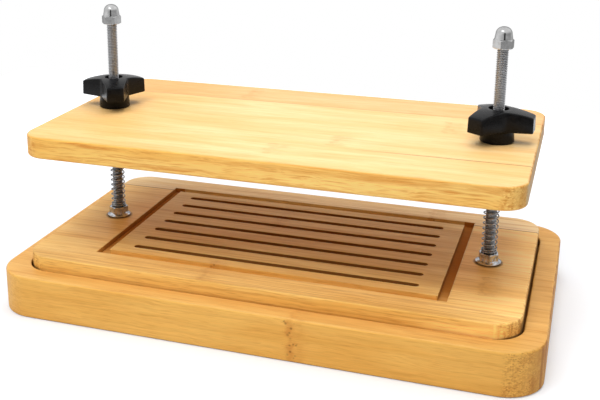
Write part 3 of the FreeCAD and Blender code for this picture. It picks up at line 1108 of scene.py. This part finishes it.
def dress_spring(side):
    """The spring round each rod, dressed, with a mesh of its own."""
    spring = make_spring(side)
    dress(spring, side + "_spring", "drain_frame", spring_steel)
    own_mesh(spring)


dress(make_tray(), "drip_tray", "tray", TrayBamboo("bamboo_tray").material)
dress(make_drain_board(), "drain_board", "drain_frame",
      DrainBamboo("bamboo_drain").material)
dress(make_press_board(), "press_board", "press",
      PressBamboo("bamboo_press").material)
for side in SIDES:
    dress(make_bolt(side), side + "_bolt", "drain_frame", rod_steel)
    dress(make_washer(side), side + "_washer", "drain_frame", nut_steel)
    dress(make_flange_nut(side), side + "_flange_nut", "drain_frame", nut_steel)
    dress(make_acorn_nut(side), side + "_acorn_nut", "drain_frame", nickel)
    dress(make_knob(side), side + "_knob", side + "_knob", black_plastic)
    dress(make_insert(side), side + "_knob_insert", side + "_knob", brass)
    dress_spring(side)

# ---- stage
SHEET_REACH = 0.62  # half the length of the sheet under the object
SKY_LIGHT = 0.37  # soft light from all round, stronger from the back
WALL_LIGHT = 0.4  # what metal and gloss see low down on the camera's side
WALL_TURN = -38  # degrees from +X to the middle of that dimmer side
STAND_TURN = -74  # degrees from +X to the dark camera stand
CAMERA_PLACE = (0.20544, -0.69184, 0.33597)
CAMERA_DOWN = 15.976  # degrees below level
CAMERA_TURN = 19.03  # degrees, anticlockwise from +Y
LENS = 60
SENSOR = 36
PICTURE_WIDTH = 600  # pixels
PICTURE_HEIGHT = 400
LENS_AXIS = (252, 128)  # the pixel where the lens axis meets the picture


def make_floor():
    """A pale sheet that is seen nearly white near the object and white at its ends."""
    bm = bmesh.new()
    bm.faces.new([bm.verts.new(p) for p in at(rectangle(2 * SHEET_REACH, 2 * SHEET_REACH), 0)])
    floor = piece_from("studio_floor", bm)
    s = Shader("floor_white")
    s.fill(s.surface, {"Base Color": (0.76, 0.79, 0.83, 1), "Roughness": 0.9, "Specular IOR Level": 0.1})
    away = s.node("ShaderNodeVectorMath", {0: s.point}, operation="LENGTH")
    strength = s.band(away.outputs["Value"], 300, 620, 0.24, 0.8)
    rays = s.node("ShaderNodeLightPath")
    seen = s.larger(rays.outputs["Is Camera Ray"],
                    s.larger(rays.outputs["Is Glossy Ray"], rays.outputs["Is Transmission Ray"]))
    glow = s.node("ShaderNodeEmission", {"Strength": s.times(seen, strength)})
    both = s.node("ShaderNodeAddShader", {0: s.surface.outputs[0], 1: glow.outputs[0]})
    s.fill(s.output, {"Surface": both.outputs[0]})
    floor.data.materials.append(s.material)


def make_world():
    """White to the camera. Metal and gloss see it too, dimmer low down on the camera's side."""
    world = bpy.data.worlds.new("studio")
    bpy.context.scene.world = world
    world.use_nodes = True
    s = Nodes(world.node_tree)
    x, y, z = s.split(s.node("ShaderNodeTexCoord").outputs["Generated"])
    turn = s.math("ARCTAN2", y, x)

    def off_from(degrees):
        gap = s.absolute(s.minus(turn, radians(degrees)))
        return s.math("MINIMUM", gap, s.minus(tau, gap))

    walls = s.band(off_from(WALL_TURN), radians(30), radians(110), WALL_LIGHT, 0.9)
    walls = s.plus(walls, s.times(s.minus(1, walls), s.band(z, 0.05, 0.7)))
    stand = s.times(s.falling(off_from(STAND_TURN), radians(8), radians(13)), s.falling(z, 0.25, 0.6))
    studio = s.times(walls, s.minus(1, s.times(stand, 0.9)))

    rays = s.node("ShaderNodeLightPath")
    glossy = rays.outputs["Is Glossy Ray"]
    direct = s.larger(rays.outputs["Is Camera Ray"], rays.outputs["Is Transmission Ray"])
    diffuse = s.minus(1, s.larger(direct, glossy))
    sky = s.band(y, -0.2, 0.9, 0.8 * SKY_LIGHT, 1.6 * SKY_LIGHT)
    strength = s.plus(s.plus(s.times(glossy, studio), direct), s.times(diffuse, sky))
    background = s.node("ShaderNodeBackground", {"Color": (1, 1, 1, 1), "Strength": strength})
    s.node("ShaderNodeOutputWorld", {"Surface": background.outputs[0]})


def make_lamp(name, place, target, size, power, mirrored=False):
    """An area lamp; only a mirrored one is seen in metal and gloss."""
    data = bpy.data.lights.new(name, "AREA")
    data.shape = "RECTANGLE"
    data.size, data.size_y = size
    data.energy = power
    lamp = new_object(name, data)
    lamp.location = place
    lamp.visible_glossy = mirrored
    aim = Vector(target) - Vector(place)
    lamp.rotation_mode = "QUATERNION"
    lamp.rotation_quaternion = aim.to_track_quat("-Z", "Y")


def make_camera():
    data = bpy.data.cameras.new("camera")
    camera = new_object("camera", data)
    camera.location = CAMERA_PLACE
    camera.rotation_euler = (radians(90 - CAMERA_DOWN), 0, radians(CAMERA_TURN))
    data.sensor_width = SENSOR
    data.lens = LENS
    data.shift_x = (PICTURE_WIDTH / 2 - LENS_AXIS[0]) / PICTURE_WIDTH
    data.shift_y = (LENS_AXIS[1] - PICTURE_HEIGHT / 2) / PICTURE_WIDTH
    bpy.context.scene.camera = camera


make_floor()
make_world()
make_lamp("key", place=(-0.15, -0.75, 1.25), target=(0, 0, 0.05), size=(1.2, 0.8), power=12.1)
make_lamp("top", place=(0.1, 0.25, 1.3), target=(0, 0, 0.05), size=(1, 0.7), power=8.2)
make_lamp("glint", place=(-0.3, -0.95, 1.6), target=(0, 0, 0.15), size=(0.95, 0.5), power=2.6,
          mirrored=True)
make_camera()
bpy.context.scene.view_settings.view_transform = "Standard"
